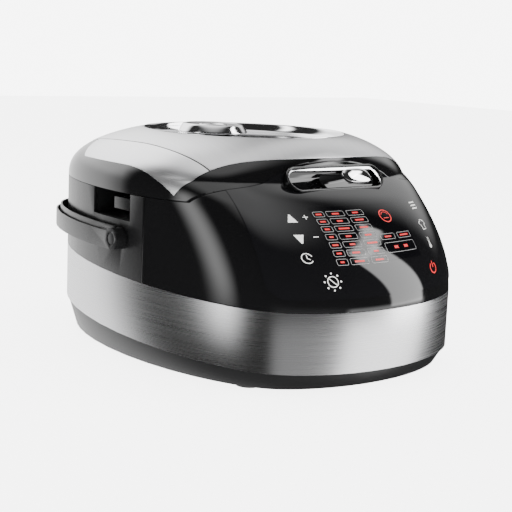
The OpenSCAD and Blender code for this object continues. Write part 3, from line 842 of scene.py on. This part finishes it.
LINE = 0.7
dial = arc_shapes(4.4, LINE) + [bar_shape(-2.6, 2.6, 2.6, -2.6, LINE)]
dial += [disc(0.75, 7.0 * math.cos(a), 7.0 * math.sin(a)) for a in np.radians(np.arange(0, 360, 45))]
clock = arc_shapes(4.4, LINE, 20, 330) + [bar_shape(0, 0, 0, 3.0, LINE), bar_shape(0, 0, 2.2, -1.2, LINE)]
hat = arc_shapes(2.2, LINE, 60, 250, (-2.2, 2.2), 16) + arc_shapes(2.2, LINE, -70, 120, (2.2, 2.2), 16)
hat += arc_shapes(2.4, LINE, 20, 160, (0, 3.6), 12)
hat += [bar_shape(-2.6, 0.2, -2.6, -4.4, LINE), bar_shape(2.6, 0.2, 2.6, -4.4, LINE),
        bar_shape(-2.9, -4.4, 2.9, -4.4, LINE)]
thermometer = arc_shapes(1.7, LINE, 110, 430, (0, -3.4), 20)
thermometer += [bar_shape(-0.9, -2, -0.9, 4, 0.5), bar_shape(0.9, -2, 0.9, 4, 0.5)]
thermometer += arc_shapes(0.9, 0.5, 0, 180, (0, 4), 10)
thermometer += [disc(0.9, 0, -3.4), bar_shape(0, -3, 0, 1.5, 0.5)]
power = arc_shapes(4.6, 1.2, 125, 415) + [bar_shape(0, 0.4, 0, 6.0, 1.2)]
# The white marks carry painted glow. The red power mark is a real lamp.
PRINTS = [
    ("mark_up", [[(-4.2, -3.8), (4.2, -3.8), (0.6, 4.6), (-0.6, 4.6)]], -69, 136, PRINT_WHITE_PAINTED_GLOW),
    ("mark_plus", [bar_shape(-2.4, 0, 2.4, 0, LINE), bar_shape(0, -2.4, 0, 2.4, LINE)],
     -56, 137, PRINT_WHITE_PAINTED_GLOW),
    ("mark_down", [[(-0.6, -4.6), (0.6, -4.6), (4.2, 3.8), (-4.2, 3.8)]], -70, 122, PRINT_WHITE_PAINTED_GLOW),
    ("mark_minus", [bar_shape(-2.4, 0, 2.4, 0, LINE)], -56, 123, PRINT_WHITE_PAINTED_GLOW),
    ("mark_clock", clock, -71, 108, PRINT_WHITE_PAINTED_GLOW),
    ("mark_dial", dial, -56, 90.5, PRINT_WHITE_PAINTED_GLOW),
    ("mark_menu", [bar_shape(-4.2, y, 4.2, y, 1.5) for y in (-3.4, 0, 3.4)], 76, 139, PRINT_WHITE_PAINTED_GLOW),
    ("mark_hat", hat, 73, 124, PRINT_WHITE_PAINTED_GLOW),
    ("mark_thermometer", thermometer, 70, 111, PRINT_WHITE_PAINTED_GLOW),
    ("mark_power", power, 61, 92, LIT_RED),
]
for name, shapes, x, z, material in PRINTS:
    settle(wrap(drawing(name, shapes), x, z), "cooker_body", "overlay", material)

# %% Display window
WINDOW = dict(left=-48.5, right=48.0, low=103.0, high=143.5)
across = np.linspace(WINDOW["left"], WINDOW["right"], 60)[None, :]
up = np.linspace(WINDOW["low"], WINDOW["high"], 40)[:, None]
glass = front_at(across + 0 * up, up + 0 * across, -LIFT - 0.14)
window = clean(new_object("display_window", glass.reshape(-1, 3), grid_faces(40, 60, False)))
settle(window, "cooker_body", "overlay", WINDOW_BLACK)

# %% [markdown]
# ## Lit cells in the display
# The display is a table of small frames, each with a lit bar that stands in for its words. A
# table repeats, so Geometry Nodes make it: a grid of points, a frame and a bar on each point,
# and a random length for each bar from a fixed seed. The result is turned into a plain mesh.


# %% Cell table as a node tree
def cell_tree():
    tree = bpy.data.node_groups.new("cell_table", "GeometryNodeTree")
    face = tree.interface
    face.new_socket("Geometry", in_out="OUTPUT", socket_type="NodeSocketGeometry")
    sizes = dict(columns=("Int", 3), rows=("Int", 7), pitch_x=("Float", 0.021), pitch_y=("Float", 0.0078),
                 width=("Float", 0.018), height=("Float", 0.0058), line=("Float", 0.0004), seed=("Int", 4))
    for name, (kind, value) in sizes.items():
        face.new_socket(name, in_out="INPUT", socket_type="NodeSocket" + kind).default_value = value
    for name in ("frame material", "bar material"):
        face.new_socket(name, in_out="INPUT", socket_type="NodeSocketMaterial")
    source = tree.nodes.new("NodeGroupInput").outputs

    def add(kind, settings=None, inputs=None):
        node = tree.nodes.new(kind)
        for key, item in (settings or {}).items():
            setattr(node, key, item)
        for key, item in (inputs or {}).items():
            if isinstance(item, bpy.types.NodeSocket):
                tree.links.new(item, node.inputs[key])
            else:
                node.inputs[key].default_value = item
        return node

    def maths(operation, a, b):
        return add("ShaderNodeMath", dict(operation=operation), {0: a, 1: b}).outputs[0]

    def ring(width, height, radius):
        quad = add("GeometryNodeCurvePrimitiveQuadrilateral", {}, {"Width": width, "Height": height})
        fillet = add("GeometryNodeFilletCurve", {"mode": "POLY"},
                     {"Curve": quad.outputs[0], "Radius": radius})
        next(i for i in fillet.inputs if i.name == "Count").default_value = 5
        return add("GeometryNodeSubdivideCurve", {}, {"Curve": fillet.outputs[0], "Cuts": 5})

    double = maths("MULTIPLY", source["line"], 2.0)
    outer = ring(source["width"], source["height"], 0.0014)
    inner = ring(maths("SUBTRACT", source["width"], double),
                 maths("SUBTRACT", source["height"], double), 0.0009)
    pair = add("GeometryNodeJoinGeometry")
    tree.links.new(outer.outputs[0], pair.inputs[0])
    tree.links.new(inner.outputs[0], pair.inputs[0])
    frame_mesh = add("GeometryNodeFillCurve", {}, {"Curve": pair.outputs[0]})
    bar_quad = add("GeometryNodeCurvePrimitiveQuadrilateral", {}, {
        "Width": maths("MULTIPLY", source["width"], 0.62),
        "Height": maths("MULTIPLY", source["height"], 0.27)})
    bar_mesh = add("GeometryNodeFillCurve", {}, {"Curve": bar_quad.outputs[0]})
    span_x = maths("MULTIPLY", source["pitch_x"], maths("SUBTRACT", source["columns"], 1.0))
    span_y = maths("MULTIPLY", source["pitch_y"], maths("SUBTRACT", source["rows"], 1.0))
    points = add("GeometryNodeMeshGrid", {}, {"Size X": span_x, "Size Y": span_y,
                                              "Vertices X": source["columns"], "Vertices Y": source["rows"]})
    length = add("FunctionNodeRandomValue", {}, {"Seed": source["seed"]})
    length.inputs[2].default_value, length.inputs[3].default_value = 0.45, 1.0
    scale = add("ShaderNodeCombineXYZ", {}, {0: length.outputs[1], 1: 1.0, 2: 1.0})
    join = add("GeometryNodeJoinGeometry")
    for shape, material, size in ((frame_mesh, "frame material", None), (bar_mesh, "bar material", scale)):
        copies = add("GeometryNodeInstanceOnPoints", {},
                     {"Points": points.outputs[0], "Instance": shape.outputs[0]})
        if size:
            tree.links.new(size.outputs[0], copies.inputs["Scale"])
        real = add("GeometryNodeRealizeInstances", {}, {0: copies.outputs[0]})
        painted = add("GeometryNodeSetMaterial", {},
                      {"Geometry": real.outputs[0], "Material": source[material]})
        tree.links.new(painted.outputs[0], join.inputs[0])
    out = tree.nodes.new("NodeGroupOutput")
    tree.links.new(join.outputs[0], out.inputs[0])
    return tree


CELLS = cell_tree()


def cells(name, x, z, **sizes):
    obj = bpy.data.objects.new(name, bpy.data.meshes.new(name))
    bpy.context.scene.collection.objects.link(obj)
    nodes = obj.modifiers.new("cells", "NODES")
    nodes.node_group = CELLS
    # The grey frames carry painted glow. The red bars are the display's own lamps.
    sizes.update({"frame material": PRINT_GREY_PAINTED_GLOW, "bar material": LIT_RED})
    for item in CELLS.interface.items_tree:
        if item.in_out == "INPUT" and item.name in sizes:
            nodes[item.identifier] = sizes[item.name]
    apply_modifiers(obj)
    wrap(obj, x, z, 0.3)
    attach(obj, "cooker_body")
    print(f"{name}: {len(obj.data.polygons)} faces")
    return obj


MIDDLE = 122.5
cells("cells_edge", -42.5, MIDDLE, columns=1, width=0.0105, seed=2)
cells("cells_left", -15.5, MIDDLE, columns=2, seed=7)
cells("cells_right", 26.5, 120.0, columns=2, rows=1, width=0.0175, seed=5)
cells("cells_wide", 26.5, 112.0, columns=1, rows=1, width=0.038, height=0.0095, seed=9)
gauge = arc_shapes(6.4, 1.0, 0, 360) + arc_shapes(4.2, 0.6, 20, 160) + [bar_shape(-3, -2.2, 3, -2.2, 0.8)]
settle(wrap(drawing("lit_gauge", gauge), 27, 134.5, 0.26), "cooker_body", "overlay", LIT_RED)

# %% [markdown]
# ## Pieces that keep their engineering shape
# The base, the steel band, the rear shell, the handle and everything inside are already right.
# The ones that can be seen get rounded edges, and every one gets its finish.

# %% Copies with rounded edges
COPIES = [
    ("base_pan", "cooker_body", "black_satin", SATIN_BLACK, 0.8),
    ("steel_band", "cooker_body", "brushed", BAND_STEEL, 0.35),
    ("rear_housing", "cooker_body", "grey_plastic", GRAIN_BLACK, 0.5),
    ("top_deck", "cooker_body", "black_satin", SATIN_BLACK, 0.3),
    ("power_inlet", "cooker_body", "black_satin", SATIN_BLACK, 0.3),
    ("pot_grips", "cooker_body", "grey_plastic", GRAIN_BLACK, 0.6),
    ("handle_pivots", "cooker_body", "grey_plastic", SATIN_BLACK, 0.3),
    ("carry_handle", "handle", "grey_plastic", GRAIN_BLACK, 0.7),
    ("hinge_arm", "lid", "grey_plastic", SATIN_BLACK, 0.3),
    ("lid_underside", "lid", "black_satin", SATIN_BLACK, 0.3),
]
for node, body, slot, material, width in COPIES:
    settle(copy_node(node, width, 3), body, slot, material, node)

# %% Finishes of the pieces that stay
STAY = {
    "rubber_feet": RUBBER, "base_screws": SPRING, "hinge_screws": SPRING, "display_module": COMPONENT,
    "touch_board": BOARD, "power_board": BOARD, "board_components": COMPONENT, "thermal_fuse": CERAMIC,
    "inner_chamber": STEEL, "chamber_legs": STEEL, "heating_plate": STEEL, "heating_element": STEEL,
    "side_heater": STEEL, "sensor_cup": STEEL, "sensor_housing": STEEL, "sensor_spring": SPRING,
    "button_spring": SPRING, "latch_hook": SPRING, "latch_pin": SPRING, "latch_striker": SPRING,
    "hinge_pin": SPRING, "hinge_springs": SPRING, "inner_pot": NONSTICK, "inner_lid": STEEL,
    "lid_gasket": SILICONE, "inner_lid_retainer": RUBBER, "steam_duct": SATIN_BLACK,
}
for node, material in STAY.items():
    frame["nodes"][node].data.materials.clear()
    frame["nodes"][node].data.materials.append(material)
print("pieces that stay:", len(STAY))

# %% [markdown]
# ## Studio
# The floor is plain and pale, glows a little so that it stays near white, and is left out of
# mirror reflections. The light is a set of large soft panels round the cooker, painted on the
# world: polished black shows nothing but what stands round it, so the panels' places decide
# how the front reads. Seen directly, the world is a plain white.

# %% Floor
FLOOR_HALF = 4000
floor = new_object("floor", [(-FLOOR_HALF, -FLOOR_HALF, 0), (FLOOR_HALF, -FLOOR_HALF, 0),
                             (FLOOR_HALF, FLOOR_HALF, 0), (-FLOOR_HALF, FLOOR_HALF, 0)], [(0, 1, 2, 3)])
for vertex in floor.data.vertices:
    vertex.co.z = 0.0
floor_paint = Finish("floor_paint", (0.86, 0.86, 0.86), Roughness=0.6, Emission_Strength=5.0)
floor_paint.set("Emission Color", (1, 1, 1, 1))
floor_paint.tint(floor_paint.noise(2, 2), (0.85, 0.85, 0.85), (0.87, 0.87, 0.87))
floor.data.materials.append(floor_paint.material)
floor.visible_glossy = False

# %% Soft panels round the cooker
world = bpy.data.worlds.new("studio")
bpy.context.scene.world = world
world.use_nodes = True
tree = world.node_tree
tree.nodes.clear()
start = Value(tree, tree.nodes.new("ShaderNodeTexCoord").outputs["Generated"])
dx, dy, dz = start.make("ShaderNodeSeparateXYZ", {}, {0: start})
azimuth = dx.math("ARCTAN2", dy * -1) * (180 / math.pi)
height = dz.math("ARCSINE") * (180 / math.pi)
soft = 3.0


def soft_panel(az0, az1, el0, el1, strength, edge=soft, edge_up=soft):
    """A soft-edged window in the world between two bearings (from the front) and two heights."""
    wide = azimuth.step(az0 - edge, az0 + edge) * (1 - azimuth.step(az1 - edge, az1 + edge))
    tall = height.step(el0 - edge_up, el0 + edge_up) * (1 - height.step(el1 - edge_up, el1 + edge_up))
    return wide * tall * strength


light = soft_panel(44, 67, -6, 42, 9.0, 1.2, 2.0)
light = light + soft_panel(48, 80, 41, 47, 9.0, 1.2, 1.2)
light = light + soft_panel(18, 68, -50, -4, 4.0, 3.0, 3.0)
light = light + soft_panel(-100, -88, -8, 40, 6.0, 6.0, 14.0)
behind = azimuth.math("ABSOLUTE").step(136, 160)
light = light + behind * (1 - height.step(6, 18)) * 3.0
light = light + behind * height.step(6, 18) * (1 - height.step(50, 66)) * 4.5
light = light + height.step(52, 74) * 2.0
light = light + soft_panel(95, 130, 16, 60, 2.0, 8.0, 8.0)
light = light + soft_panel(-45, 18, -60, -2, 0.45, 12.0, 6.0)
light = light + 0.04
seen = start.make("ShaderNodeLightPath")
camera_ray, diffuse_ray = seen[0], seen[2]
glow = light * (1 - diffuse_ray) + diffuse_ray * 0.8
glow = glow * (1 - camera_ray) + camera_ray * 9.0
background = tree.nodes.new("ShaderNodeBackground")
tree.links.new(glow.socket, background.inputs["Strength"])
output = tree.nodes.new("ShaderNodeOutputWorld")
tree.links.new(background.outputs[0], output.inputs[0])


def softbox(name, where, aim, size, power):
    lamp = bpy.data.lights.new(name, "AREA")
    lamp.shape, lamp.size, lamp.size_y, lamp.energy = "RECTANGLE", size[0], size[1], power
    obj = bpy.data.objects.new(name, lamp)
    bpy.context.scene.collection.objects.link(obj)
    obj.location = where
    obj.rotation_euler = (Vector(aim) - Vector(where)).to_track_quat("-Z", "Y").to_euler()
    obj.visible_glossy = False
    return obj


softbox("top_light", (0.1, 0.1, 1.6), (0, 0, 0.1), (1.6, 1.6), 16)
softbox("front_light", (-0.9, -1.5, 0.9), (0, 0, 0.08), (1.0, 1.0), 8)
print("world and two lights")

# %% [markdown]
# ## Camera
# A long lens about a metre away, a little above the lid, that sees the front and the left side.

# %% Camera
AZIMUTH, ELEVATION, ROLL = math.radians(-39.358), math.radians(9.872), math.radians(2.373)
FOCAL_SHARE = 2.39660  # focal length over the picture's width
back = Vector((math.sin(AZIMUTH) * math.cos(ELEVATION), -math.cos(AZIMUTH) * math.cos(ELEVATION),
               math.sin(ELEVATION)))
level = Vector((math.cos(AZIMUTH), math.sin(AZIMUTH), 0))
right = level * math.cos(ROLL) + back.cross(level) * math.sin(ROLL)
up_way = back.cross(right)
camera_data = bpy.data.cameras.new("camera")
camera_data.sensor_width = 36
camera_data.lens = 36 * FOCAL_SHARE
camera_data.shift_x = 0.0059
camera = bpy.data.objects.new("camera", camera_data)
bpy.context.scene.collection.objects.link(camera)
turn = Matrix((right, up_way, back)).transposed().to_4x4()
camera.matrix_world = Matrix.Translation((-0.7065, -0.8643 + SHIFT_Y * MM, 0.2735)) @ turn
bpy.context.scene.camera = camera
